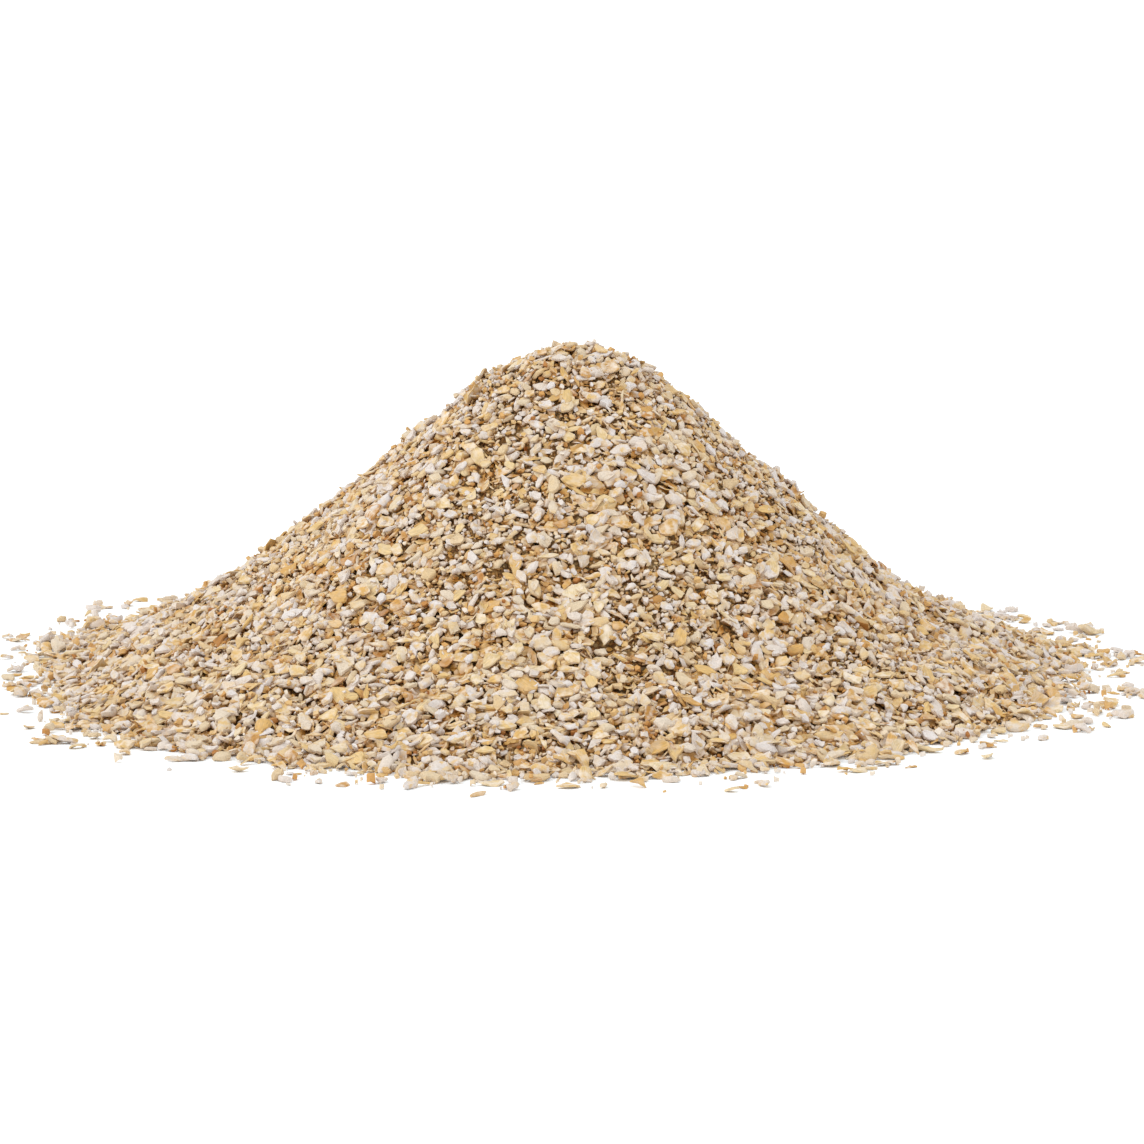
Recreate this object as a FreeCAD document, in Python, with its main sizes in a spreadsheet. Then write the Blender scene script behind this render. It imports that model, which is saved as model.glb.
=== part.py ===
"""A loose heap of milled cereal feed: one scoopful, poured out on a flat surface.

The heap is a packed core with a cover of separate flakes lying on its flank and a scatter of
stray flakes on the surface round its foot. Each flake is a solid of its own. The flakes are grouped
into nodes by what they are (husk flakes, floury flakes, grits), by how high up the heap they lie,
and by the side of the heap they lie on.

Millimetres. +Z is up, the origin is the middle of the face the heap rests on, and the front is -Y.
"""

import FreeCAD, Part
import math
import os
import random
import sys

import Sketcher

Vector = FreeCAD.Vector

# Driving dimensions: alias, value (millimetres, or degrees for an angle), what it is.
DIMENSIONS = [
    ("heap_height", 57.7, "height of the packed core"),
    ("foot_radius", 92.0, "radius of the core where it meets the surface"),
    ("foot_edge", 2.1, "height of the ragged step at the foot, a few flakes thick"),
    ("repose_angle", 39.4, "steepest slope of the flank, in degrees"),
    ("crown_radius", 22.9, "radius of the rounded top"),
    ("toe_radius", 88.0, "radius of the hollow curve where the flank runs out"),
    ("scatter_radius", 101.0, "how far from the axis the last stray flake lies"),
    ("husk_length", 3.5, "a typical husk flake"),
    ("husk_width", 2.4, "a typical husk flake"),
    ("husk_thickness", 0.32, "a typical husk flake"),
    ("sliver_length", 3.6, "a typical husk sliver"),
    ("sliver_width", 0.9, "a typical husk sliver"),
    ("flour_length", 2.7, "a typical floury flake"),
    ("flour_width", 2.0, "a typical floury flake"),
    ("flour_thickness", 0.6, "a typical floury flake"),
    ("grit_length", 1.3, "a typical grit"),
    ("grit_width", 1.0, "a typical grit"),
    ("grit_thickness", 0.75, "a typical grit"),
    ("resting_gap", 0.05, "room left between a flake and what it lies on"),
    ("flake_gap", 0.15, "least room left between two flakes"),
]

# Flake patterns: name, length, width and thickness cells, corners, waviness of the outline, how many.
PATTERNS = [
    ("husk", "husk_length", "husk_width", "husk_thickness", 6, 0.20, 4),
    ("sliver", "sliver_length", "sliver_width", "husk_thickness", 5, 0.12, 2),
    ("flour", "flour_length", "flour_width", "flour_thickness", 7, 0.14, 4),
    ("grit", "grit_length", "grit_width", "grit_thickness", 5, 0.16, 3),
]

# What each group of flakes is cut from. A husk flake is now and then a sliver.
KINDS = [
    ("husk_flakes", ["husk_1", "husk_2", "husk_3", "husk_4", "sliver_1", "sliver_2"]),
    ("floury_flakes", ["flour_1", "flour_2", "flour_3", "flour_4"]),
    ("grits", ["grit_1", "grit_2", "grit_3"]),
]

# Sides of the heap: name, and the middle and half-width of its sector in degrees from +X.
WHOLE = [("", 0.0, 180.0)]
HALVES = [("front", -90.0, 90.0), ("back", 90.0, 90.0)]
QUARTERS = [
    ("front", -90.0, 45.0),
    ("right", 0.0, 45.0),
    ("back", 90.0, 45.0),
    ("left", 180.0, 45.0),
]

# Bands from the top down: name, outer radius as a share of the foot's, sides, and how many flakes
# of each kind lie on each side.
SLOPE_BANDS = [
    ("crown", 0.155, WHOLE, 13),
    ("upper_slope", 0.37, HALVES, 38),
    ("middle_slope", 0.61, QUARTERS, 40),
    ("lower_slope", 0.82, QUARTERS, 48),
    ("toe", 1.0, QUARTERS, 46),
]
SCATTER_COUNTS = {"front": 9, "right": 13, "back": 9, "left": 18}
SCATTER_REACH = 3.0  # mean distance of a stray flake from the foot

SIZE_SPREAD = (0.72, 1.22)  # a flake's size against the typical one
MOST_TILT = 7.0  # degrees between a flake and the flank it lies on
SEED = 20


def make_sheet(doc):
    """The spreadsheet of driving dimensions, one aliased cell a row."""
    sheet = doc.addObject("Spreadsheet::Sheet", "dims")
    for row, (alias, value, meaning) in enumerate(DIMENSIONS, start=1):
        sheet.set(f"A{row}", meaning)
        sheet.set(f"B{row}", str(value))
        sheet.setAlias(f"B{row}", alias)
    doc.recompute()
    return sheet


def plane_of(body, role):
    """One of a body's own origin planes."""
    return next(o for o in body.Origin.OriginFeatures if o.Role == role)


def sketch_on(body, role, name):
    """An empty sketch on one of the body's origin planes."""
    sketch = body.newObject("Sketcher::SketchObject", name)
    sketch.AttachmentSupport = [(plane_of(body, role), "")]
    sketch.MapMode = "FlatFace"
    return sketch


def constrain(sketch, name, expression, kind, *where):
    """A named dimension of the sketch, bound to an expression of the sheet's cells."""
    index = sketch.addConstraint(Sketcher.Constraint(kind, *where))
    sketch.renameConstraint(index, name)
    sketch.setExpression(f"Constraints.{name}", expression)


class CoreOutline:
    """Half of the core's section: foot edge, hollow toe, straight flank and rounded crown."""

    def __init__(self, sheet):
        self.height = sheet.heap_height
        self.foot = sheet.foot_radius
        self.edge = sheet.foot_edge
        self.slope = math.radians(sheet.repose_angle)
        self.crown = sheet.crown_radius
        self.toe = sheet.toe_radius
        down = Vector(math.cos(self.slope), -math.sin(self.slope))
        out = Vector(math.sin(self.slope), math.cos(self.slope))
        self.crown_centre = Vector(0, self.height - self.crown)
        self.flank_top = self.crown_centre + out * self.crown
        self.foot_top = Vector(self.foot, self.edge)
        # The toe's centre lies toe_radius above the flank and toe_radius from the foot's edge.
        reach = self.flank_top + out * self.toe - self.foot_top
        along = reach.dot(down)
        run = -along - math.sqrt(along * along - reach.dot(reach) + self.toe * self.toe)
        self.flank_foot = self.flank_top + down * run
        self.toe_centre = self.flank_foot + out * self.toe

    def at(self, radius):
        """Height of the core's surface and its slope in radians, at a distance from the axis."""
        if radius < self.flank_top.x:
            angle = math.asin(radius / self.crown)
            return self.crown_centre.y + self.crown * math.cos(angle), angle
        if radius < self.flank_foot.x:
            drop = (radius - self.flank_top.x) * math.tan(self.slope)
            return self.flank_top.y - drop, self.slope
        angle = math.asin((self.toe_centre.x - radius) / self.toe)
        return self.toe_centre.y - self.toe * math.cos(angle), angle


def bearing_of(vector):
    """The angle of a flat vector from +X, in radians."""
    return math.atan2(vector.y, vector.x)


def make_core(doc, outline):
    """The packed inside of the heap, turned about the vertical axis."""
    body = doc.addObject("PartDesign::Body", "packed_core")
    sketch = sketch_on(body, "XZ_Plane", "core_section")
    centre, foot = Vector(0, 0), Vector(outline.foot, 0)
    toe_start = bearing_of(outline.flank_foot - outline.toe_centre)
    toe_end = bearing_of(outline.foot_top - outline.toe_centre)
    normal = Vector(0, 0, 1)
    toe = Part.Circle(outline.toe_centre, normal, outline.toe)
    crown = Part.Circle(outline.crown_centre, normal, outline.crown)
    top = outline.crown_centre + Vector(0, outline.crown)
    base_line, edge_line, toe_arc, flank_line, crown_arc, axis_line = range(6)
    sketch.addGeometry(Part.LineSegment(centre, foot))
    sketch.addGeometry(Part.LineSegment(foot, outline.foot_top))
    sketch.addGeometry(Part.ArcOfCircle(toe, toe_start, toe_end))
    sketch.addGeometry(Part.LineSegment(outline.flank_foot, outline.flank_top))
    sketch.addGeometry(Part.ArcOfCircle(crown, math.pi / 2 - outline.slope, math.pi / 2))
    sketch.addGeometry(Part.LineSegment(top, centre))
    start, end, middle, root = 1, 2, 3, -1
    for constraint in (
        ("Coincident", base_line, start, root, 1),
        ("Horizontal", base_line),
        ("Coincident", base_line, end, edge_line, start),
        ("Vertical", edge_line),
        ("Coincident", edge_line, end, toe_arc, end),
        ("Tangent", toe_arc, start, flank_line, start),
        ("Tangent", flank_line, end, crown_arc, start),
        ("Coincident", crown_arc, end, axis_line, start),
        ("Coincident", axis_line, end, root, 1),
        ("Vertical", axis_line),
        ("PointOnObject", crown_arc, middle, -2),
    ):
        sketch.addConstraint(Sketcher.Constraint(*constraint))
    constrain(sketch, "foot", "dims.foot_radius", "DistanceX", base_line, start, base_line, end,
              outline.foot)
    constrain(sketch, "edge", "dims.foot_edge", "DistanceY", edge_line, start, edge_line, end,
              outline.edge)
    constrain(sketch, "toe", "dims.toe_radius", "Radius", toe_arc, outline.toe)
    constrain(sketch, "crown", "dims.crown_radius", "Radius", crown_arc, outline.crown)
    constrain(sketch, "rise", "dims.heap_height", "DistanceY", axis_line, end, axis_line, start,
              outline.height)
    constrain(sketch, "repose", "(180 - dims.repose_angle) * 1 deg", "Angle", flank_line,
              math.pi - outline.slope)
    turn = body.newObject("PartDesign::Revolution", "core_turned")
    turn.Profile = sketch
    turn.ReferenceAxis = (sketch, ["V_Axis"])
    turn.Angle = 360
    body.Tip = turn
    return body


def make_pattern(doc, name, number, cells, corners, waviness):
    """One flake outline as a padded sketch: a polygon with corners round an uneven oval."""
    length, width, thickness = cells
    body = doc.addObject("PartDesign::Body", f"{name}_{number}")
    sketch = sketch_on(body, "XY_Plane", f"{name}_{number}_outline")
    shares = []
    for corner in range(corners):
        turn = 2 * math.pi * corner / corners + 0.7 * number
        swell = 1 + waviness * math.sin(2.4 * corner * number + number)
        shares.append((0.5 * swell * math.cos(turn), 0.5 * swell * math.sin(turn)))
    size_x, size_y = getattr(doc.dims, length), getattr(doc.dims, width)
    points = [Vector(x * size_x, y * size_y) for x, y in shares]
    for corner, point in enumerate(points):
        sketch.addGeometry(Part.LineSegment(point, points[(corner + 1) % corners]))
    for corner in range(corners):
        following = (corner + 1) % corners
        sketch.addConstraint(Sketcher.Constraint("Coincident", corner, 2, following, 1))
    for corner, (x, y) in enumerate(shares):
        constrain(sketch, f"along_{corner}", f"dims.{length} * {x:.4f}", "DistanceX", -1, 1,
                  corner, 1, x * size_x)
        constrain(sketch, f"across_{corner}", f"dims.{width} * {y:.4f}", "DistanceY", -1, 1,
                  corner, 1, y * size_y)
    pad = body.newObject("PartDesign::Pad", f"{name}_{number}_plate")
    pad.Profile = sketch
    pad.setExpression("Length", f"dims.{thickness}")
    body.Tip = pad
    return body


def make_patterns(doc):
    """Every flake pattern as a body, by name."""
    bodies = {}
    for name, length, width, thickness, corners, waviness, count in PATTERNS:
        for number in range(1, count + 1):
            body = make_pattern(
                doc, name, number, (length, width, thickness), corners, waviness
            )
            bodies[body.Name] = body
    doc.recompute()
    return bodies


def reach_of(shape):
    """How far a flake reaches from its own axis."""
    return max(math.hypot(v.X, v.Y) for v in shape.Vertexes)


class Spots:
    """Where flakes already lie, so that no two meet."""

    CELL = 6.0

    def __init__(self, gap):
        self.gap = gap
        self.cells = {}

    def key(self, point):
        return int(point.x // self.CELL), int(point.y // self.CELL), int(point.z // self.CELL)

    def take(self, point, reach):
        """True, and the spot is taken, if a flake of this reach fits there."""
        i, j, k = self.key(point)
        near = [(a, b, c) for a in (i - 1, i, i + 1) for b in (j - 1, j, j + 1)
                for c in (k - 1, k, k + 1)]
        for cell in near:
            for other, other_reach in self.cells.get(cell, []):
                if point.distanceToPoint(other) < reach + other_reach + self.gap:
                    return False
        self.cells.setdefault((i, j, k), []).append((point, reach))
        return True


def laid(shape, point, up, spin):
    """A copy of a flake with its underside at a point, facing up along a direction."""
    turn = FreeCAD.Rotation(Vector(0, 0, 1), up)
    copy = shape.copy()
    copy.Placement = FreeCAD.Placement(point, turn * FreeCAD.Rotation(Vector(0, 0, 1), spin))
    return copy


def random_flake(shapes, chance):
    """A flake of one of these shapes at a size of its own, and its reach."""
    flake = chance.choice(shapes).copy()
    flake.scale(chance.uniform(*SIZE_SPREAD))
    return flake, reach_of(flake)


def flakes_on_slope(count, shapes, ring, side, outline, sheet, spots, chance):
    """Flakes lying on the core between two radii, on one side of the heap."""
    (inner, outer), (_, middle, half) = ring, side
    found = []
    while len(found) < count:
        flake, reach = random_flake(shapes, chance)
        radius = math.sqrt(chance.uniform(inner**2, outer**2))
        if radius + reach > outline.foot - sheet.flake_gap:
            continue
        bearing = math.radians(middle + chance.uniform(-half, half))
        height, slope = outline.at(radius)
        outward = Vector(math.cos(bearing), math.sin(bearing), 0)
        level = Vector(-outward.y, outward.x, 0)
        normal = outward * math.sin(slope) + Vector(0, 0, math.cos(slope))
        ground = outward * radius + Vector(0, 0, height)
        if not spots.take(ground, reach):
            continue
        tilt = math.radians(chance.uniform(0, MOST_TILT))
        lean = FreeCAD.Rotation(normal, math.degrees(chance.uniform(0, 2 * math.pi)))
        up = normal * math.cos(tilt) + lean.multVec(level) * math.sin(tilt)
        hollow = reach * reach / (2 * outline.toe)
        lift = reach * math.sin(tilt) + hollow + sheet.resting_gap
        found.append(laid(flake, ground + normal * lift, up, chance.uniform(0, 360)))
    return found


def flakes_on_surface(count, shapes, side, sheet, spots, chance):
    """Stray flakes lying flat on the surface that the heap stands on."""
    _, middle, half = side
    found = []
    while len(found) < count:
        flake, reach = random_flake(shapes, chance)
        nearest = sheet.foot_radius + reach + sheet.flake_gap
        radius = nearest + chance.expovariate(1 / SCATTER_REACH)
        if radius + reach > sheet.scatter_radius:
            continue
        bearing = math.radians(middle + chance.uniform(-half, half))
        ground = Vector(math.cos(bearing), math.sin(bearing), 0) * radius
        if spots.take(ground, reach):
            found.append(laid(flake, ground, Vector(0, 0, 1), chance.uniform(0, 360)))
    return found


def add_group(doc, name, flakes):
    """A node of separate flakes."""
    node = doc.addObject("Part::Feature", name)
    node.Label = name
    node.Shape = Part.makeCompound(flakes)
    return node


def node_name(*words):
    return "_".join(word for word in words if word)


def make_cover(doc, sheet, outline, patterns):
    """Every group of flakes, from the crown down to the scatter."""
    chance = random.Random(SEED)
    spots = Spots(sheet.flake_gap)
    nodes = []
    inner = 0.0
    for band, share, sides, count in SLOPE_BANDS:
        outer = share * sheet.foot_radius
        for side in sides:
            for kind, names in KINDS:
                shapes = [patterns[name].Shape for name in names]
                flakes = flakes_on_slope(
                    count, shapes, (inner, outer), side, outline, sheet, spots, chance
                )
                nodes.append(add_group(doc, node_name(band, side[0], kind), flakes))
        inner = outer
    for side in QUARTERS:
        for kind, names in KINDS:
            shapes = [patterns[name].Shape for name in names]
            count = SCATTER_COUNTS[side[0]]
            flakes = flakes_on_surface(count, shapes, side, sheet, spots, chance)
            nodes.append(add_group(doc, node_name("scatter", side[0], kind), flakes))
    return nodes


def check(doc, nodes):
    """Stops if any object failed or any node's shape isn't a set of sound solids."""
    failed = [o.Name for o in doc.Objects if set(o.State) & {"Invalid", "Error"}]
    if failed:
        sys.exit(f"these objects failed: {failed}")
    for node in nodes:
        shape = node.Shape
        if shape.isNull() or not shape.isValid() or not shape.Solids:
            sys.exit(f"{node.Label} has no sound shape")


def main():
    doc = FreeCAD.newDocument("feed_heap")
    sheet = make_sheet(doc)
    outline = CoreOutline(sheet)
    core = make_core(doc, outline)
    patterns = make_patterns(doc)
    nodes = [core] + make_cover(doc, sheet, outline, patterns)
    doc.recompute()
    check(doc, nodes)
    os.makedirs("parts", exist_ok=True)
    for node in nodes:
        node.Shape.exportStep(os.path.join("parts", node.Label + ".step"))
    solids = sum(len(node.Shape.Solids) for node in nodes)
    print(f"{len(nodes)} nodes, {solids} solids, core {core.Shape.Volume / 1000:.1f} cm3")


main()
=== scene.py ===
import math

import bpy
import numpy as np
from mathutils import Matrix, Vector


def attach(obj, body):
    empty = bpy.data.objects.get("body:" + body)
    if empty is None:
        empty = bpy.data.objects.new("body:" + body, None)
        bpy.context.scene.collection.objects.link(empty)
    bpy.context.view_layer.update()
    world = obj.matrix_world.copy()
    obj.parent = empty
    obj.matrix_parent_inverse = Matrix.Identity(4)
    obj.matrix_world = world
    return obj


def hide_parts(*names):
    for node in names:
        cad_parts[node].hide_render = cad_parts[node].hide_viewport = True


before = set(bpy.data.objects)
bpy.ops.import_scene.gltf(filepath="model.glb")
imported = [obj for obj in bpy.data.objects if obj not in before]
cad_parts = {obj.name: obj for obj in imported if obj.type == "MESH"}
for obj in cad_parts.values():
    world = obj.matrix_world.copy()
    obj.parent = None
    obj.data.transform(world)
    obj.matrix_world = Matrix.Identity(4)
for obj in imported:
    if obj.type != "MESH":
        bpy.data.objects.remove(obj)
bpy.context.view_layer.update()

# A heap of coarse milled feed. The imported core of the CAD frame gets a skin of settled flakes: husk
# flakes and slivers, floury flakes, and grits. Flakes are dropped in rounds on a relief of the heap,
# each round on what has settled before it. The last to land are the flakes of the CAD frame itself,
# each at its own place. Lengths are in millimetres until they become a mesh, which is in metres.

MM = 0.001
CORE = "packed_core"
BODY = "root"

# The CAD nodes hold the flakes of one kind, in one band of the slope, on one side of the heap.
BANDS = [("crown", 0.155), ("upper_slope", 0.37), ("middle_slope", 0.61), ("lower_slope", 0.82),
         ("toe", 1.0)]
SIDES = {"crown": [""], "upper_slope": ["front", "back"]}
QUARTERS = ["front", "right", "back", "left"]
SIDE_BEARINGS = {"right": 0.0, "back": 90.0, "left": 180.0, "front": 270.0}

# What the flakes are like: the kind of CAD node they belong to, their share of a round, and the least
# and most of their length, width against length, thickness against width, curl and tilt.
SORTS = {
    "husk": {
        "kind": "husk_flakes", "share": 0.19, "length": (1.4, 4.4), "width": (0.40, 0.78),
        "thickness": (0.11, 0.20), "curl": (0.1, 0.85), "tilt": (2, 50),
    },
    "sliver": {
        "kind": "husk_flakes", "share": 0.09, "length": (1.5, 4.0), "width": (0.20, 0.36),
        "thickness": (0.26, 0.42), "curl": (0.0, 0.80), "tilt": (3, 50),
    },
    "flour": {
        "kind": "floury_flakes", "share": 0.37, "length": (1.2, 4.2), "width": (0.38, 0.76),
        "thickness": (0.20, 0.42), "curl": (0.0, 0.60), "tilt": (2, 50),
    },
    "grit": {
        "kind": "grits", "share": 0.35, "length": (0.5, 1.7), "width": (0.50, 0.95),
        "thickness": (0.45, 0.85), "curl": (0.0, 0.0), "tilt": (0, 60),
    },
}
SLIVER_RATIO = 0.45  # a husk flake narrower than this against its length is a sliver
SMALLNESS = 1.7  # over 1, small flakes come more often than large ones
THINNEST = 0.2  # but for the CAD frame's own flakes
# How each sort gathers where the heap is floury, from -1 (shuns it) to 1 (is only there).
PATCHINESS = {"husk": -0.45, "sliver": -0.45, "flour": 0.45, "grit": 0.10}
MOST_WELCOME = 1.35  # where a sort is this welcome, every flake of it stays

# Rounds of flakes, all over the heap
ROUNDS = 36
ROUND_COUNT = 1850
FINES_EVERY = 3  # each such round is of fine bits that fill the gaps
FINES_SCALE = 0.55
PAST_FOOT, FOOT_THINNING = 9.0, 1.2  # how far past the foot flakes land, and how soon they thin out
SPREAD_FROM = 0.8  # share of the foot's radius from which places follow its uneven outline
ROLL, ROLL_TRIES = 1.1, 9  # how far a flake rolls, and how many places it tries

# Strays round the foot
STRAY_COUNT = 860
CLUMP_COUNT = 310
CLUMP_REACH = 3.0
STRAY_START, STRAY_REACH, STRAY_LIMIT = 1.0, 6.5, 14.0  # distances past the foot
STRAY_TILT = (0, 18)
STRAY_THICKNESS = 1.3  # against that of a flake in the heap
CAD_TILT = (0, 14)

# The relief that the flakes settle on, and how it differs from the CAD core's own surface
RELIEF_REACH, RELIEF_CELL = 106.0, 0.35
SKIN_DEPTH = 1.3  # how far below the core's own surface the settling starts
TOP_DRIFT, DRIFT_REACH = 1.5, 40.0  # how far the top stands to the right of the foot's middle
UNEVEN = 0.45  # the size of both kinds of waves in the slope
LONG_WAVE, SHORT_WAVE = 28.0, 9.0
SHOULDERS = [(-19.0, -3.0, 2.0, 8.0), (-54.0, 0.0, 1.5, 9.0)]  # x, y, rise and half width of each
THIN_FOOT, THIN_FOOT_WIDTH = 1.6, 9.0  # how much lower the foot starts, and over what width
BARE_FOOT = 2.0  # the outermost of the foot, where the flakes start on the floor
PIT_SPACING, PIT_DEPTH = 8.0, 1.3
PIT_EDGE, PIT_SIDE = 0.8, 0.6  # a pit starts at this level of random waves, and falls over so much
KEEP_OUT = 0.12  # flakes roll away from a pit as if that much had settled in it
FLOURY_WAVE, COARSE_WAVE = 22.0, 30.0  # how far apart floury places are, and coarse ones
COARSEST = 1.25  # the most that flakes are enlarged

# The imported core: how far inside the foot it ends and below the relief it lies, and its least height
CORE_MARGIN, CORE_DROP, CORE_LEAST = 3.5, 0.25, 0.06
CORE_ROUGHNESS = 0.22

# What is shown: a flake is left out unless more than the least share of it lies less deep than this
DEEPEST_SHOWN, LEAST_SHOWN = 1.1, 0.1
DETAIL_DEPTH, DETAIL_SHARE = 0.3, 0.3  # the same, for all the detail of a large flake
EVEN_CELLS = 3  # the heap's even surface is the relief averaged over this many cells each way
PAINTED_SHADE_DEPTH = 1.3  # the depth that counts as the bottom of a gap, for the painted shade there
CREASE = 50  # degrees above which an edge is crisp
SEED = 7


# The frame: the core's outline and the CAD flakes


def mesh_points(obj):
    """An object's vertices, in millimetres."""
    flat = np.empty(3 * len(obj.data.vertices))
    obj.data.vertices.foreach_get("co", flat)
    return flat.reshape(-1, 3) / MM


def mesh_triangles(obj):
    """An object's triangles as vertex numbers."""
    obj.data.calc_loop_triangles()
    flat = np.empty(3 * len(obj.data.loop_triangles), dtype=int)
    obj.data.loop_triangles.foreach_get("vertices", flat)
    return flat.reshape(-1, 3)


def core_outline():
    """Distances from the axis and the core's height there, from the top of the heap to its foot."""
    points = mesh_points(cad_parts[CORE])
    points = points[points[:, 2] > 0.5]
    radius = np.hypot(points[:, 0], points[:, 1])
    order = np.argsort(radius)
    return radius[order], points[order, 2]


def loose_parts(points, triangles):
    """Which separate solid each vertex belongs to."""
    _, same = np.unique(points.round(3), axis=0, return_inverse=True)
    corners = same.reshape(-1)[triangles]
    label = np.arange(corners.max() + 1)
    while True:
        lowest = label[corners].min(axis=1)
        before = label.copy()
        for corner in range(3):
            np.minimum.at(label, corners[:, corner], lowest)
        if (label == before).all():
            return label[same.reshape(-1)]


def cad_flakes():
    """The CAD frame's flakes: their middles, sizes, headings and sorts, in the order of their nodes."""
    found = []
    for name in sorted(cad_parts):
        if name == CORE:
            continue
        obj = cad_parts[name]
        points = mesh_points(obj)
        part = loose_parts(points, mesh_triangles(obj))
        for label in np.unique(part):
            flake = points[part == label]
            middle = flake.mean(axis=0)
            _, _, axes = np.linalg.svd(flake - middle, full_matrices=False)
            length, width, thickness = np.ptp((flake - middle) @ axes.T, axis=0)
            heading = math.atan2(axes[0, 1], axes[0, 0])
            sort = {"husk_flakes": "husk", "floury_flakes": "flour", "grits": "grit"}[kind_of(name)]
            if sort == "husk" and width < SLIVER_RATIO * length:
                sort = "sliver"
            found.append((sort, middle[0], middle[1], length, width, thickness, heading))
    return found


def kind_of(node):
    """The kind of flake a CAD node holds, from its name."""
    return next(sort["kind"] for sort in SORTS.values() if node.endswith(sort["kind"]))


# The relief that the flakes settle on


class Relief:
    """The height of the heap's surface, in square cells."""

    def __init__(self, reach, cell):
        self.reach = reach
        self.cell = cell
        self.count = int(round(2 * reach / cell)) + 1
        across = np.linspace(-reach, reach, self.count)
        self.x, self.y = np.meshgrid(across, across, indexing="ij")
        self.height = np.zeros_like(self.x)

    def begin(self, height, kept_out, floury, coarseness):
        """Sets what the settling starts from: the height, and what each place is like.

        kept_out is how much seems to have settled already, floury is where the floury flakes gather,
        and coarseness is the flakes' size there, 1 as listed.
        """
        self.height = height
        self.start = height - kept_out
        self.floury = floury
        self.coarseness = coarseness

    def cells(self, x, y):
        """The cells that the places lie in, as two arrays of indices."""
        last = self.count - 1
        column = np.clip(np.rint((x + self.reach) / self.cell), 0, last).astype(int)
        row = np.clip(np.rint((y + self.reach) / self.cell), 0, last).astype(int)
        return column, row

    def at(self, x, y):
        """The height at those places."""
        return self.height[self.cells(x, y)]

    def cover(self, x, y):
        """How much has settled there."""
        place = self.cells(x, y)
        return self.height[place] - self.start[place]

    def raise_to(self, x, y, height):
        """Raises each place to that height, unless it is higher already."""
        np.maximum.at(self.height, self.cells(x, y), height)

    def smoothed(self, cells):
        """The height averaged over that many cells to each side."""
        total = self.height
        for axis in (0, 1):
            moved = [np.roll(total, step, axis=axis) for step in range(-cells, cells + 1)]
            total = sum(moved) / len(moved)
        even = Relief(self.reach, self.cell)
        even.height = total
        return even


def waves(x, y, length, count, chance):
    """Smooth random unevenness of about that wavelength, mostly between -1 and 1."""
    total = np.zeros_like(x)
    for _ in range(count):
        turn = chance.uniform(0, 2 * math.pi)
        pitch = 2 * math.pi / (length * chance.uniform(0.75, 1.5))
        phase = chance.uniform(0, 2 * math.pi)
        total += np.sin(pitch * (x * math.cos(turn) + y * math.sin(turn)) + phase)
    return total / math.sqrt(count)


def spread(bearing):
    """How far the heap runs out that way, 1 for the core's own foot: unevenly, with blunt ends."""
    along_x = np.cos(bearing)
    right_end = 0.042 * np.exp(3.0 * (along_x - 1))
    left_end = 0.033 * np.exp(8.0 * (-along_x - 1))
    sideways = -0.028 * along_x - right_end - left_end
    forwards = 0.025 * np.minimum(np.sin(bearing), 0)
    ragged = 0.009 * np.sin(3 * bearing + 1.0) + 0.008 * np.sin(7 * bearing)
    ragged += 0.006 * np.sin(13 * bearing)
    return 1 + sideways + forwards + ragged


def start_relief(outline, chance):
    """The heap before its skin settles: the core, a little lower, uneven, pitted, thin at its foot."""
    relief = Relief(RELIEF_REACH, RELIEF_CELL)
    x, y = relief.x, relief.y
    foot = outline[0][-1]
    drift = TOP_DRIFT * np.exp(-((x**2 + y**2) / DRIFT_REACH**2))
    radius = np.hypot(x - drift, y) / spread(np.arctan2(y, x))
    height = np.interp(radius, *outline, right=0.0)
    uneven = UNEVEN * waves(x, y, LONG_WAVE, 9, chance) + UNEVEN * waves(x, y, SHORT_WAVE, 16, chance)
    shoulders = sum(
        rise * np.exp(-((x - place_x) ** 2 + (y - place_y) ** 2) / (2 * half_width**2))
        for place_x, place_y, rise, half_width in SHOULDERS
    )
    run_out = THIN_FOOT * np.clip((radius - foot + THIN_FOOT_WIDTH) / THIN_FOOT_WIDTH, 0, 1)
    height += uneven + shoulders - run_out - SKIN_DEPTH
    height[radius > foot - BARE_FOOT] = 0.0
    pits = np.clip((waves(x, y, PIT_SPACING, 16, chance) - PIT_EDGE) / PIT_SIDE, 0, 1)
    height = np.maximum(height - PIT_DEPTH * pits, 0.0)
    floury = waves(x, y, FLOURY_WAVE, 9, chance)
    patchy = 0.16 * waves(x, y, COARSE_WAVE, 8, chance) - 0.0006 * x
    coarseness = np.minimum(0.90 + 0.28 * (radius / foot) ** 2 + patchy, COARSEST)
    relief.begin(height, KEEP_OUT * pits, floury, coarseness)
    return relief


# Flake shapes


def disc(rings):
    """Evenly spread points of a flat disc of radius 1."""
    points = [(0.0, 0.0)]
    for ring in range(1, rings + 1):
        count = 6 * ring
        for step in range(count):
            turn = 2 * math.pi * step / count
            points.append((ring / rings * math.cos(turn), ring / rings * math.sin(turn)))
    return np.array(points)


FOOTPRINT = disc(3)
CORNER_SHIFT, CORNER_REACH = 0.33, (0.74, 1.16)  # how unevenly a flake's corners are placed
RING_WANDER = 0.05


def cut_outline(corners, bulge, chance):
    """Corners of a chip round a circle of radius 1, and each edge's middle if it bulges at all.

    bulge holds the least and most that an edge's middle stands out, 1 for a straight edge.
    """
    shift = chance.uniform(-CORNER_SHIFT, CORNER_SHIFT, corners)
    bearings = 2 * math.pi * (np.arange(corners) + shift) / corners
    reach = chance.uniform(*CORNER_REACH, corners)
    tips = reach[:, None] * np.column_stack([np.cos(bearings), np.sin(bearings)])
    if not bulge:
        return tips
    middles = 0.5 * (tips + np.roll(tips, -1, axis=0)) * chance.uniform(*bulge, (corners, 1))
    return np.stack([tips, middles], axis=1).reshape(-1, 2)


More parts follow.
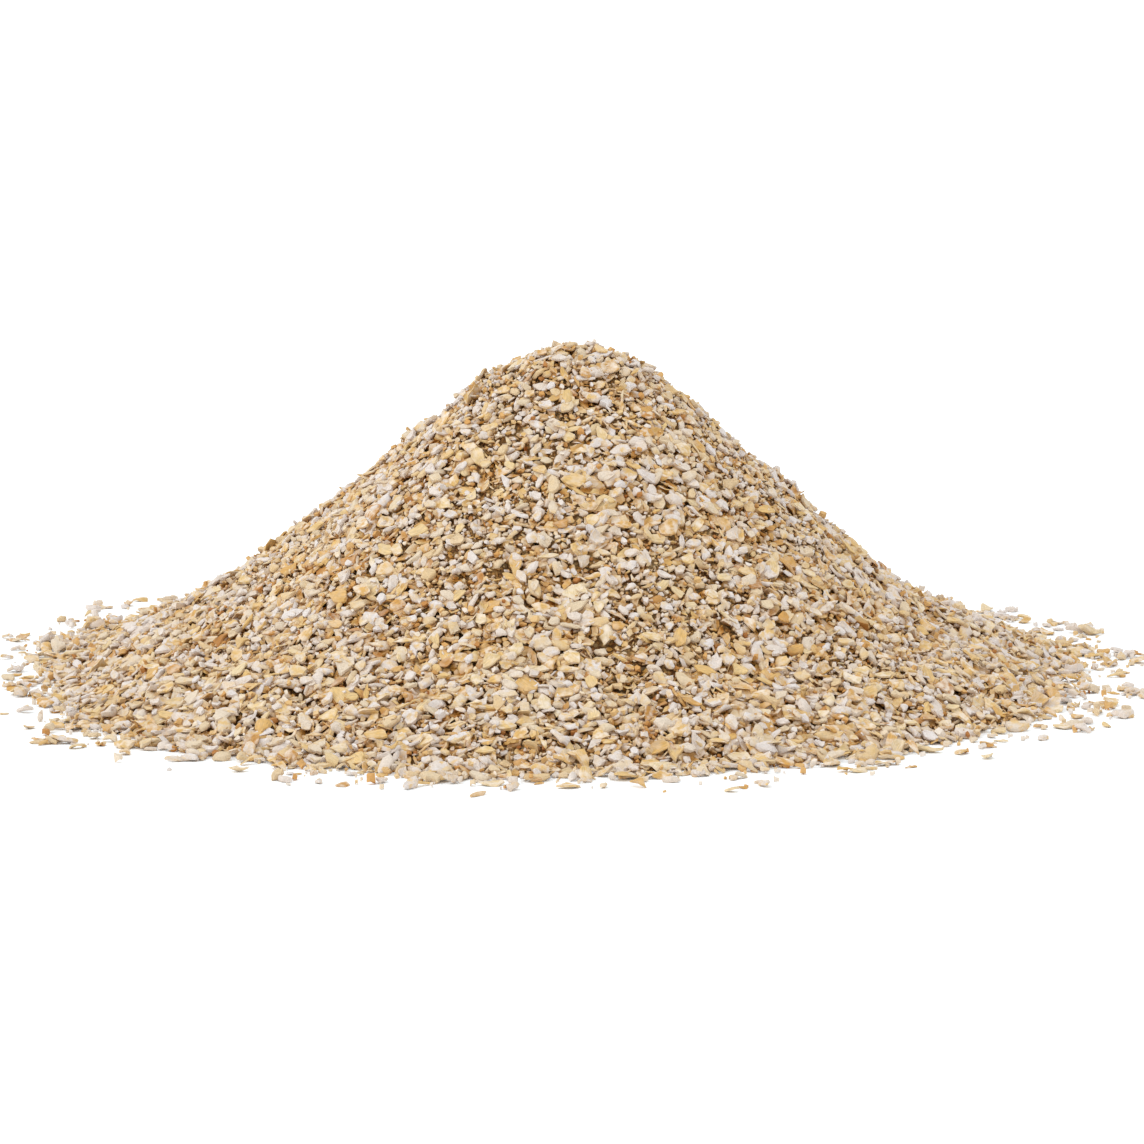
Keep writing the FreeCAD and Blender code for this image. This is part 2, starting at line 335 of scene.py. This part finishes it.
def flake_shape(corners, bulge, rings, lumps, chance):
    """A closed flake about 2 across and 1 thick.

    Gives its vertices, how much each is lifted by curl, its triangles, and the map of each triangle's
    corners: the upper face fills the left half of the map and the lower face the right half. rings
    holds the radius and height of each ring of vertices from the top down, and lumps is how uneven
    the heights are.
    """
    outline = cut_outline(corners, bulge, chance)
    points = len(outline)
    vertices = [np.array([[0.0, 0.0, rings[0][1] * chance.uniform(0.8, 1.3)]])]
    for radius, height in rings:
        wander = 1 + RING_WANDER * chance.standard_normal((points, 1))
        bump = height + 0.5 * lumps * chance.standard_normal(points)
        vertices.append(np.column_stack([radius * wander * outline, bump]))
    vertices.append(np.array([[0.0, 0.0, rings[-1][1] * chance.uniform(0.8, 1.3)]]))
    vertices = np.vstack(vertices)
    last = len(vertices) - 1
    here = np.arange(points)
    after = np.roll(here, -1)
    fans = [np.column_stack([np.zeros(points, int), 1 + here, 1 + after])]
    upper = [np.ones(points, bool)]
    for ring in range(len(rings) - 1):
        start, below = 1 + ring * points, 1 + (ring + 1) * points
        fans.append(np.column_stack([start + here, below + here, below + after]))
        fans.append(np.column_stack([start + here, below + after, start + after]))
        upper.append(np.full(2 * points, rings[ring][1] + rings[ring + 1][1] >= 0))
    base = 1 + (len(rings) - 1) * points
    fans.append(np.column_stack([np.full(points, last), base + after, base + here]))
    upper.append(np.zeros(points, bool))
    triangles = np.vstack(fans)
    x, y = vertices[:, 0], vertices[:, 1]
    bend = chance.uniform(-0.4, 1.0) * y**2 + chance.uniform(-0.3, 0.5) * x**2
    bend += chance.uniform(-0.4, 0.4) * x * y
    corner_map = 0.5 + 0.37 * vertices[triangles][:, :, :2]
    corner_map[:, :, 0] *= 0.5
    corner_map[~np.concatenate(upper), :, 0] += 0.5
    return {"vertices": vertices, "bend": bend, "triangles": triangles, "map": corner_map}


# Rings of each sort of flake: radius and height. Large flakes, but not grits, have more of them.
PLATE = [(0.55, 0.52), (0.96, 0.44), (1.0, -0.46)]
PLATE_SMALL = [(0.95, 0.46), (1.0, -0.46)]
CHUNK = [(0.55, 0.54), (0.92, 0.42), (1.0, -0.15), (0.88, -0.46)]
CHUNK_SMALL = [(0.90, 0.45), (1.0, -0.42)]
GRAIN = [(0.85, 0.36), (0.92, -0.34)]
VARIANTS = 16


def flake_shapes(chance):
    """Shape variants by sort and by whether the flake is large enough for all its detail.

    A plan holds the corners, the bulge of the edges, the rings and the lumps.
    """
    plans = {
        ("husk", True): (6, (0.92, 1.18), PLATE, 0.12),
        ("husk", False): (7, None, PLATE_SMALL, 0.12),
        ("sliver", True): (4, (0.90, 1.25), PLATE, 0.16),
        ("sliver", False): (5, None, PLATE_SMALL, 0.16),
        ("flour", True): (6, (0.92, 1.18), CHUNK, 0.22),
        ("flour", False): (7, None, CHUNK_SMALL, 0.20),
        ("grit", True): (6, None, GRAIN, 0.30),
        ("grit", False): (5, None, GRAIN, 0.30),
    }
    return {
        key: [flake_shape(*plan, chance) for _ in range(VARIANTS)] for key, plan in plans.items()
    }


# The length from which a flake gets all its detail
LARGE = {"husk": 2.1, "sliver": 2.4, "flour": 1.9, "grit": 1.0}


# Settling


def unit(vectors):
    """Vectors of the same directions and of length 1."""
    return vectors / np.linalg.norm(vectors, axis=-1, keepdims=True)


def new_flakes(sort, x, y, length, width, thickness, heading, tilt, chance):
    """Flakes of one sort that haven't settled yet, as a dictionary of arrays."""
    count = len(x)
    return {
        "sort": np.full(count, sort),
        "x": x,
        "y": y,
        "length": length,
        "width": width,
        "thickness": thickness,
        "heading": heading,
        "tilt": np.radians(tilt),
        "curl": chance.uniform(*SORTS[sort]["curl"], count) * width,
        "lean": chance.uniform(0, 2 * math.pi, count),
        "variant": chance.integers(0, VARIANTS, count),
        "tone": chance.uniform(0, 1, (count, 3)),
        "offset": chance.uniform(-50, 50, (count, 3)),
    }


def random_sizes(sort, count, chance):
    """Length, width and thickness of flakes of one sort, small ones more often than large ones."""
    facts = SORTS[sort]
    low, high = facts["length"]
    length = low + (high - low) * chance.uniform(0, 1, count) ** SMALLNESS
    width = length * chance.uniform(*facts["width"], count)
    thickness = np.maximum(width * chance.uniform(*facts["thickness"], count), THINNEST)
    return length, width, thickness


def joined(groups):
    """Several dictionaries of arrays as one."""
    return {key: np.concatenate([group[key] for group in groups]) for key in groups[0]}


def settle(relief, flakes, hold):
    """Lays flakes on the relief, gives them their middles and axes, and raises the relief.

    hold is the share of a flake's footprint that lies above the ground, where the rest sinks in.
    """
    x, y = flakes["x"][:, None], flakes["y"][:, None]
    reach = 0.5 * flakes["length"][:, None]
    ground = relief.at(x + reach * FOOTPRINT[:, 0], y + reach * FOOTPRINT[:, 1])
    slope = ground @ FOOTPRINT / (FOOTPRINT[:, 0] ** 2).sum() / reach
    level = np.zeros((len(x), 1))
    up = unit(np.hstack([-slope, level + 1]))
    lean = np.column_stack([np.cos(flakes["lean"]), np.sin(flakes["lean"]), level])
    up = unit(up + np.tan(flakes["tilt"])[:, None] * lean)
    heading = np.column_stack([np.cos(flakes["heading"]), np.sin(flakes["heading"]), level])
    along = unit(heading - (heading * up).sum(axis=1, keepdims=True) * up)
    across = np.cross(up, along)
    half_length = 0.5 * flakes["length"][:, None, None] * along[:, None, :]
    half_width = 0.5 * flakes["width"][:, None, None] * across[:, None, :]
    spots = FOOTPRINT[None, :, :1] * half_length + FOOTPRINT[None, :, 1:] * half_width
    spot_x, spot_y = x + spots[:, :, 0], y + spots[:, :, 1]
    rest = np.quantile(relief.at(spot_x, spot_y) - spots[:, :, 2], hold, axis=1)
    thickness = flakes["thickness"] * up[:, 2]
    flakes["z"] = rest + 0.5 * thickness
    flakes["along"], flakes["across"], flakes["up"] = along, across, up
    flakes["top"] = (rest + thickness)[:, None] + spots[:, :, 2]
    flakes["spot_x"], flakes["spot_y"] = spot_x, spot_y
    relief.raise_to(spot_x, spot_y, flakes["top"])
    return flakes


def random_places(count, outline, chance):
    """Places all over the heap, as many to each piece of its slope, thinning out past its foot."""
    foot = outline[0][-1]
    radius = np.linspace(0, foot + PAST_FOOT, 400)
    height = np.interp(radius, *outline, right=0.0)
    slant = np.hypot(np.gradient(radius), np.gradient(height))
    slant[radius > foot - 1.0] = slant[0]
    thinning = 1 / (1 + np.exp((radius - foot) / FOOT_THINNING))
    share = np.cumsum(radius * slant * thinning)
    bearing = chance.uniform(0, 2 * math.pi, count)
    found = np.interp(chance.uniform(0, share[-1], count), share, radius)
    found = np.where(found > SPREAD_FROM * foot, found * spread(bearing), found)
    return found * np.cos(bearing), found * np.sin(bearing)


def rolled(relief, x, y, chance):
    """Places moved a little to where the least has settled, as flakes roll into hollows."""
    near = chance.normal(0, ROLL, (2, len(x), ROLL_TRIES))
    near[:, :, 0] = 0.0
    tried_x, tried_y = x[:, None] + near[0], y[:, None] + near[1]
    lowest = relief.cover(tried_x, tried_y).argmin(axis=1)
    row = np.arange(len(x))
    return tried_x[row, lowest], tried_y[row, lowest]


def one_round(relief, outline, scale, chance):
    """A round of flakes of every sort, all over the heap, scaled in length and width."""
    groups = []
    for sort, facts in SORTS.items():
        count = int(ROUND_COUNT * facts["share"])
        x, y = random_places(count, outline, chance)
        welcome = 1 + PATCHINESS[sort] * relief.floury[relief.cells(x, y)]
        kept = chance.uniform(0, MOST_WELCOME, count) < welcome
        x, y = rolled(relief, x[kept], y[kept], chance)
        count = len(x)
        length, width, thickness = random_sizes(sort, count, chance)
        growth = relief.coarseness[relief.cells(x, y)] * scale
        length, width = length * growth, width * growth
        heading = chance.uniform(0, 2 * math.pi, count)
        tilt = chance.uniform(*facts["tilt"], count) * np.clip(1.7 - 0.24 * length, 0.4, 1.0)
        groups.append(new_flakes(sort, x, y, length, width, thickness, heading, tilt, chance))
    return settle(relief, joined(groups), hold=0.48)


def strays(relief, outline, chance):
    """Flakes on the surface round the foot, alone and in small clumps, fewer further out."""
    bearing = chance.uniform(0, 2 * math.pi, CLUMP_COUNT)
    bearing -= 0.15 * np.sin(2 * bearing)
    beyond = np.minimum(STRAY_START + chance.exponential(STRAY_REACH, CLUMP_COUNT), STRAY_LIMIT)
    radius = outline[0][-1] * spread(bearing) + beyond
    groups = []
    for sort, facts in SORTS.items():
        count = int(STRAY_COUNT * facts["share"])
        clump = chance.integers(0, CLUMP_COUNT, count)
        x = (radius * np.cos(bearing))[clump] + chance.uniform(-CLUMP_REACH, CLUMP_REACH, count)
        y = (radius * np.sin(bearing))[clump] + chance.uniform(-CLUMP_REACH, CLUMP_REACH, count)
        length, width, thickness = random_sizes(sort, count, chance)
        heading = chance.uniform(0, 2 * math.pi, count)
        tilt = chance.uniform(*STRAY_TILT, count)
        thickness = STRAY_THICKNESS * thickness
        groups.append(new_flakes(sort, x, y, length, width, thickness, heading, tilt, chance))
    return settle(relief, joined(groups), hold=0.8)


def cad_round(relief, chance):
    """The CAD frame's own flakes, each at its place and of its size, on top of all the others."""
    groups = []
    found = cad_flakes()
    for sort in SORTS:
        rows = [row[1:] for row in found if row[0] == sort]
        x, y, length, width, thickness, heading = np.array(rows).T
        tilt = chance.uniform(*CAD_TILT, len(rows))
        groups.append(new_flakes(sort, x, y, length, width, thickness, heading, tilt, chance))
    return settle(relief, joined(groups), hold=0.70)


def shown_share(relief, flakes, depth):
    """How much of each flake lies no deeper than that under the surface."""
    buried = relief.at(flakes["spot_x"], flakes["spot_y"]) - flakes["top"]
    return (buried < depth).mean(axis=1)


# Pieces


def node_names(flakes, foot):
    """The CAD node that each flake belongs to."""
    radius = np.hypot(flakes["x"], flakes["y"]) / foot
    bearing = np.degrees(np.arctan2(flakes["y"], flakes["x"])) % 360
    names = []
    for sort, share, turn in zip(flakes["sort"], radius, bearing):
        band = next((name for name, limit in BANDS if share < limit), "scatter")
        sides = SIDES.get(band, QUARTERS)
        side = sides[0]
        if len(sides) == 2:
            side = "back" if turn < 180 else "front"
        elif len(sides) == 4:
            side = min(sides, key=lambda name: abs((turn - SIDE_BEARINGS[name] + 180) % 360 - 180))
        names.append("_".join(word for word in (band, side, SORTS[sort]["kind"]) if word))
    return np.array(names)


def shaped(flakes, shape):
    """Vertices of flakes that share one shape, and their own coordinates along each flake."""
    own = shape["vertices"][None] * 0.5
    size = np.stack([flakes["length"], flakes["width"], 2 * flakes["thickness"]], axis=1)
    local = own * size[:, None, :]
    local[:, :, 2] += flakes["curl"][:, None] * (shape["bend"] - shape["bend"].mean())[None]
    axes = np.stack([flakes["along"], flakes["across"], flakes["up"]], axis=1)
    middle = np.stack([flakes["x"], flakes["y"], flakes["z"]], axis=1)
    points = np.einsum("nvk,nkd->nvd", local, axes) + middle[:, None, :]
    sunk = np.minimum(points[:, :, 2].min(axis=1), 0.0)
    points[:, :, 2] -= sunk[:, None]
    return points, local


def add_mesh(name, points, triangles, corner_map, tones_and_painted_shade=None, grain=None):
    """A smooth mesh object from arrays, in metres, with its map and its flakes' attributes."""
    mesh = bpy.data.meshes.new(name)
    mesh.vertices.add(len(points))
    mesh.vertices.foreach_set("co", (points * MM).astype(np.float32).ravel())
    mesh.loops.add(triangles.size)
    mesh.loops.foreach_set("vertex_index", triangles.astype(np.int32).ravel())
    mesh.polygons.add(len(triangles))
    mesh.polygons.foreach_set("loop_start", np.arange(0, triangles.size, 3, dtype=np.int32))
    mesh.update(calc_edges=True)
    mesh.shade_smooth()
    mesh.set_sharp_from_angle(angle=math.radians(CREASE))
    layer = mesh.uv_layers.new(name="OFBake")
    layer.uv.foreach_set("vector", corner_map.astype(np.float32).ravel())
    if tones_and_painted_shade is not None:
        # The tone attribute holds two random tones, then the depth that the painted shade in the gaps
        # follows
        tone = mesh.attributes.new("tone", "FLOAT_VECTOR", "POINT")
        tone.data.foreach_set("vector", tones_and_painted_shade.astype(np.float32).ravel())
        own = mesh.attributes.new("grain", "FLOAT_VECTOR", "POINT")
        own.data.foreach_set("vector", grain.astype(np.float32).ravel())
    mesh.validate()
    obj = bpy.data.objects.new(name, mesh)
    bpy.context.scene.collection.objects.link(obj)
    return obj


def painted_shade_depth(surface, points):
    """How far each point lies below the heap's even surface, from 0 to 1 at the depth of a gap's bottom
    and more: the mask of the painted shade in the gaps.
    """
    return np.clip((surface.at(points[:, 0], points[:, 1]) - points[:, 2]) / PAINTED_SHADE_DEPTH, 0, 1)


def flake_piece(node, flakes, shapes, surface):
    """One object of all the flakes of a CAD node."""
    count = len(flakes["x"])
    columns = math.ceil(math.sqrt(count))
    large = flakes["large"]
    points, triangles, corner_maps, tones_and_painted_shade, grains = [], [], [], [], []
    vertex_total = cell = 0
    keys = sorted(set(zip(flakes["sort"].tolist(), large.tolist(), flakes["variant"].tolist())))
    for sort, big, variant in keys:
        chosen = (flakes["sort"] == sort) & (large == big) & (flakes["variant"] == variant)
        group = {key: value[chosen] for key, value in flakes.items()}
        shape = shapes[(sort, big)][variant]
        place, local = shaped(group, shape)
        number = len(place)
        per_flake = place.shape[1]
        first = vertex_total + per_flake * np.arange(number)
        cells = cell + np.arange(number)
        corner = np.stack([cells % columns, cells // columns], axis=1)
        points.append(place.reshape(-1, 3))
        triangles.append((shape["triangles"][None] + first[:, None, None]).reshape(-1, 3))
        in_cells = (shape["map"][None] + corner[:, None, None, :]) / columns
        corner_maps.append(in_cells.reshape(-1, 2))
        tone = np.repeat(group["tone"], per_flake, axis=0)
        # The third tone is each vertex's depth below the even surface, which sets the painted shade in
        # the gaps
        tone[:, 2] = painted_shade_depth(surface, points[-1])
        tones_and_painted_shade.append(tone)
        grains.append((local + group["offset"][:, None, :]).reshape(-1, 3))
        vertex_total += number * per_flake
        cell += number
    return add_mesh(
        node + "_settled", np.vstack(points), np.vstack(triangles), np.vstack(corner_maps),
        np.vstack(tones_and_painted_shade), np.vstack(grains),
    )


def core_piece(relief, foot, chance):
    """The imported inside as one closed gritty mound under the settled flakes."""
    rings, sectors = 130, 440
    turn = 2 * math.pi * np.arange(sectors) / sectors
    radius = (foot - CORE_MARGIN) * spread(turn) * np.arange(1, rings + 1)[:, None] / rings
    x = (radius * np.cos(turn)).ravel()
    y = (radius * np.sin(turn)).ravel()
    rough = CORE_ROUGHNESS * chance.standard_normal(len(x))
    z = np.maximum(relief.at(x, y) - CORE_DROP + rough, CORE_LEAST)
    top = np.array([[0.0, 0.0, relief.at(np.array([0.0]), np.array([0.0]))[0]]])
    slope = np.vstack([top, np.column_stack([x, y, z])])
    rim_start = len(slope)
    rim = np.column_stack([x[-sectors:], y[-sectors:], np.zeros(sectors)])
    points = np.vstack([slope, rim, [[0.0, 0.0, 0.0]]])
    here = np.arange(sectors)
    after = np.roll(here, -1)
    triangles = [np.column_stack([np.zeros(sectors, int), 1 + here, 1 + after])]
    starts = [1 + ring * sectors for ring in range(rings)] + [rim_start]
    for start, below in zip(starts, starts[1:]):
        triangles.append(np.column_stack([start + here, below + here, below + after]))
        triangles.append(np.column_stack([start + here, below + after, start + after]))
    last = np.full(sectors, len(points) - 1)
    under = np.column_stack([last, rim_start + after, rim_start + here])
    triangles.append(under)
    triangles = np.vstack(triangles)
    flat = 0.25 + 0.24 * points[:, :2] / foot
    corner_map = flat[triangles]
    corner_map[-sectors:, :, 0] += 0.5
    return add_mesh(CORE + "_mound", points, triangles, corner_map)


# Materials


def srgb(red, green, blue):
    """A linear colour from its everyday 0 to 255 values."""
    values = []
    for value in (red, green, blue):
        share = value / 255
        values.append(share / 12.92 if share <= 0.04045 else ((share + 0.055) / 1.055) ** 2.4)
    return (*values, 1.0)


PAINTED_SHADE_TINT = (0.70, 0.43, 0.12, 1.0)  # painted shade: what a flake's colour is multiplied by down in a gap, browner and darker


class Nodes:
    """A material's nodes.

    An input is named by its keyword, or numbered as in n0. It is wired if it is given a socket and set
    if it is given a value.
    """

    def __init__(self, name):
        self.material = bpy.data.materials.new(name)
        self.material.use_nodes = True
        self.tree = self.material.node_tree
        self.tree.nodes.clear()

    def add(self, kind, settings=None, **inputs):
        node = self.tree.nodes.new("ShaderNode" + kind)
        for name, value in (settings or {}).items():
            setattr(node, name, value)
        for name, value in inputs.items():
            numbered = name[0] == "n"
            socket = node.inputs[int(name[1:]) if numbered else name.replace("_", " ")]
            if isinstance(value, bpy.types.NodeSocket):
                self.tree.links.new(value, socket)
            else:
                socket.default_value = value
        return node

    def attribute(self, name):
        return self.add("Attribute", {"attribute_name": name}).outputs["Vector"]

    def parts(self, vector):
        return self.add("SeparateXYZ", Vector=vector).outputs

    def stretched(self, vector, scale):
        return self.add("Mapping", Vector=vector, Scale=scale).outputs["Vector"]

    def noise(self, vector, scale, detail=3.0, roughness=0.55):
        node = self.add("TexNoise", Vector=vector, Scale=scale, Detail=detail, Roughness=roughness)
        return node.outputs[0]

    def ramp(self, factor, stops):
        node = self.add("ValToRGB", Fac=factor)
        elements = node.color_ramp.elements
        while len(elements) < len(stops):
            elements.new(1.0)
        for element, (place, colour) in zip(elements, stops):
            element.position = place
            element.color = colour
        return node.outputs["Color"]

    def range(self, value, low, high, to_low=0.0, to_high=1.0):
        node = self.add("MapRange", n0=value, n1=low, n2=high, n3=to_low, n4=to_high)
        return node.outputs[0]

    def math(self, operation, first, second):
        return self.add("Math", {"operation": operation}, n0=first, n1=second).outputs[0]

    def mix(self, factor, first, second, blend="MIX"):
        settings = {"data_type": "RGBA", "blend_type": blend}
        return self.add("Mix", settings, n0=factor, n6=first, n7=second).outputs[2]

    def shaded(self, colour, share):
        """The colour times a share that differs over the surface."""
        grey = self.add("CombineColor", n0=share, n1=share, n2=share).outputs[0]
        return self.mix(1.0, colour, grey, "MULTIPLY")

    def with_painted_shade(self, colour, depth):
        """The colour with painted shade: browner and darker down in the gaps between flakes."""
        deep = self.mix(1.0, colour, PAINTED_SHADE_TINT, "MULTIPLY")
        return self.mix(self.range(depth, 0.15, 0.88), colour, deep)

    def finish(self, colour, roughness, height, bump, **shader):
        """The shader itself, with bump in millimetres from a height between 0 and 1."""
        normal = self.add("Bump", Height=height, Strength=1.0, Distance=bump * MM).outputs[0]
        lit = self.add(
            "BsdfPrincipled", Base_Color=colour, Roughness=roughness, Normal=normal, **shader
        )
        self.add("OutputMaterial", Surface=lit.outputs[0])
        return self.material


def husk_material():
    """Golden bran: fibres along the flake, paler and darker flakes, a dusting of flour."""
    nodes = Nodes("cereal_husk")
    tone = nodes.parts(nodes.attribute("tone"))
    grain = nodes.attribute("grain")
    body = nodes.ramp(tone[0], [
        (0.00, srgb(178, 117, 50)), (0.07, srgb(202, 149, 75)), (0.40, srgb(213, 168, 98)),
        (0.75, srgb(217, 180, 119)), (1.00, srgb(220, 193, 150)),
    ])
    fibres = nodes.noise(nodes.stretched(grain, (0.8, 5.0, 3.0)), 1.0, 4.0)
    streaks = nodes.range(fibres, 0.30, 0.70, 0.70, 1.10)
    body = nodes.shaded(body, streaks)
    patches = nodes.noise(grain, 0.8, 3.0)
    dust = nodes.math("MULTIPLY", nodes.range(patches, 0.40, 0.64), nodes.range(tone[1], 0.0, 0.7))
    # Painted shade: browner and darker down in the gaps between flakes
    colour = nodes.with_painted_shade(nodes.mix(dust, body, srgb(222, 202, 179)), tone[2])
    roughness = nodes.range(fibres, 0.3, 0.7, 0.50, 0.72)
    return nodes.finish(colour, roughness, fibres, 0.06, Specular_IOR_Level=0.35)


def flour_material():
    """Chalky broken kernel: off-white, crumbly, with scraps of bran still on it."""
    nodes = Nodes("cereal_flour")
    tone = nodes.parts(nodes.attribute("tone"))
    grain = nodes.attribute("grain")
    body = nodes.ramp(tone[0], [
        (0.00, srgb(217, 184, 139)), (0.20, srgb(219, 195, 163)), (0.50, srgb(222, 203, 186)),
        (1.00, srgb(222, 208, 198)),
    ])
    crumb = nodes.noise(grain, 3.2, 5.0, 0.65)
    shade = nodes.range(crumb, 0.3, 0.7, 0.78, 1.05)
    body = nodes.shaded(body, shade)
    scraps = nodes.range(nodes.noise(grain, 0.7, 3.0), 0.45, 0.65)
    skin = nodes.math("MULTIPLY", scraps, nodes.range(tone[1], 0.15, 0.95))
    # Painted shade: browner and darker down in the gaps between flakes
    colour = nodes.with_painted_shade(nodes.mix(skin, body, srgb(213, 173, 110)), tone[2])
    roughness = nodes.range(crumb, 0.3, 0.7, 0.80, 0.95)
    return nodes.finish(colour, roughness, crumb, 0.12, Specular_IOR_Level=0.25)


def grit_material():
    """Crumbs of everything: flour, straw and now and then brown germ."""
    nodes = Nodes("cereal_grit")
    tone = nodes.parts(nodes.attribute("tone"))
    grain = nodes.attribute("grain")
    body = nodes.ramp(tone[0], [
        (0.00, srgb(168, 106, 52)), (0.05, srgb(201, 146, 81)), (0.30, srgb(215, 174, 116)),
        (0.50, srgb(219, 191, 152)), (0.68, srgb(222, 203, 182)), (1.00, srgb(222, 208, 197)),
    ])
    crumb = nodes.noise(grain, 2.6, 4.0, 0.6)
    shade = nodes.range(crumb, 0.3, 0.7, 0.86, 1.06)
    # Painted shade: browner and darker down in the gaps between flakes
    colour = nodes.with_painted_shade(nodes.shaded(body, shade), tone[2])
    roughness = nodes.range(crumb, 0.3, 0.7, 0.70, 0.90)
    return nodes.finish(colour, roughness, crumb, 0.08, Specular_IOR_Level=0.30)


def core_material():
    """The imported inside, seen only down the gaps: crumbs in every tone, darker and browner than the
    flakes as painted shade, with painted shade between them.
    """
    nodes = Nodes("cereal_packed")
    place = nodes.stretched(nodes.add("TexCoord").outputs["Object"], (1000.0, 1000.0, 1000.0))
    crumbs = nodes.add("TexVoronoi", Vector=place, Scale=1.5, Randomness=1.0)
    tone = nodes.parts(crumbs.outputs["Color"])[0]
    # The crumbs' tones differ at random, and all are darker and browner than the flakes' as painted
    # shade down the gaps
    body = nodes.ramp(tone, [
        (0.00, srgb(132, 80, 34)), (0.40, srgb(172, 121, 62)), (0.75, srgb(190, 143, 84)),
        (1.00, srgb(202, 166, 116)),
    ])
    # Painted shade between the crumbs, from the same pattern that gives their bump height
    gap_shade_and_height = nodes.range(crumbs.outputs["Distance"], 0.20, 0.60, 1.05, 0.40)
    colour = nodes.shaded(body, gap_shade_and_height)
    roughness = nodes.range(tone, 0.0, 1.0, 0.75, 0.92)
    return nodes.finish(colour, roughness, gap_shade_and_height, 0.30, Specular_IOR_Level=0.25)


# Surroundings


FLOOR_COLOUR = (0.95, 0.93, 0.90, 1.0)
LIGHT_COLOUR = (0.895, 0.972, 1.045)
ROOM_STRENGTH, KEY_STRENGTH = 1.29, 0.95
KEY_SIZE = math.radians(30)
KEY_DIRECTION = Vector((1.05, 0.40, -0.95))


def pale_floor():
    """A plain matt floor."""
    side = 6.0
    mesh = bpy.data.meshes.new("floor")
    corners = [(-side, -side, 0), (side, -side, 0), (side, side, 0), (-side, side, 0)]
    mesh.from_pydata(corners, [], [(0, 1, 2, 3)])
    floor = bpy.data.objects.new("floor", mesh)
    bpy.context.scene.collection.objects.link(floor)
    nodes = Nodes("studio_floor")
    lit = nodes.add("BsdfDiffuse", Color=FLOOR_COLOUR)
    nodes.add("OutputMaterial", Surface=lit.outputs[0])
    mesh.materials.append(nodes.material)


def studio():
    """A white room lit evenly, with a wide soft light high on the left and in front."""
    world = bpy.data.worlds.new("white_room")
    world.use_nodes = True
    background = world.node_tree.nodes["Background"]
    background.inputs["Color"].default_value = (*LIGHT_COLOUR, 1.0)
    background.inputs["Strength"].default_value = ROOM_STRENGTH
    bpy.context.scene.world = world
    bpy.context.scene.view_settings.view_transform = "Standard"
    light = bpy.data.lights.new("key_light", "SUN")
    light.energy = KEY_STRENGTH
    light.color = LIGHT_COLOUR
    light.angle = KEY_SIZE
    key = bpy.data.objects.new("key_light", light)
    key.rotation_euler = KEY_DIRECTION.to_track_quat("-Z", "Y").to_euler()
    bpy.context.scene.collection.objects.link(key)


def camera():
    """A long lens, nine degrees above the floor, looking along +Y at the heap."""
    distance, elevation = 0.8, math.radians(9)
    middle_of_heap = Vector((0, 0, 0.025))
    place = middle_of_heap + distance * Vector((0, -math.cos(elevation), math.sin(elevation)))
    aim = Vector((0, 0, 0.0176))
    lens = bpy.data.cameras.new("camera")
    lens.sensor_width = 36.0
    lens.lens = 143.5
    obj = bpy.data.objects.new("camera", lens)
    obj.location = place
    obj.rotation_euler = (aim - place).to_track_quat("-Z", "Y").to_euler()
    bpy.context.scene.collection.objects.link(obj)
    bpy.context.scene.camera = obj


# The heap


def hold_in_frame(piece, node):
    """The piece stands for its CAD node and rides with it."""
    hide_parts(node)
    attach(piece, BODY)


def heap():
    """The whole heap: its core, then its skin of flakes, one piece for each node."""
    chance = np.random.default_rng(SEED)
    outline = core_outline()
    foot = outline[0][-1]
    shapes = flake_shapes(chance)
    relief = start_relief(outline, chance)
    core = core_piece(relief, foot, chance)
    core.data.materials.append(core_material())
    hold_in_frame(core, CORE)
    settled = []
    for number in range(ROUNDS):
        fines = number % FINES_EVERY == FINES_EVERY - 1
        settled.append(one_round(relief, outline, FINES_SCALE if fines else 1.0, chance))
    settled.append(strays(relief, outline, chance))
    own = cad_round(relief, chance)
    # The even surface below which the painted shade in the gaps is measured
    surface = relief.smoothed(EVEN_CELLS)
    flakes = joined(settled)
    seen = shown_share(relief, flakes, DEEPEST_SHOWN) > LEAST_SHOWN
    flakes = joined([{key: value[seen] for key, value in flakes.items()}, own])
    limits = np.array([LARGE[sort] for sort in flakes["sort"]])
    in_sight = shown_share(relief, flakes, DETAIL_DEPTH) > DETAIL_SHARE
    flakes["large"] = (flakes["length"] > limits) & in_sight
    names = node_names(flakes, foot)
    materials = {
        "husk_flakes": husk_material(),
        "floury_flakes": flour_material(),
        "grits": grit_material(),
    }
    for node in sorted(set(names)):
        chosen = names == node
        group = {key: value[chosen] for key, value in flakes.items()}
        piece = flake_piece(node, group, shapes, surface)
        piece.data.materials.append(materials[kind_of(node)])
        hold_in_frame(piece, node)


heap()
pale_floor()
studio()
camera()
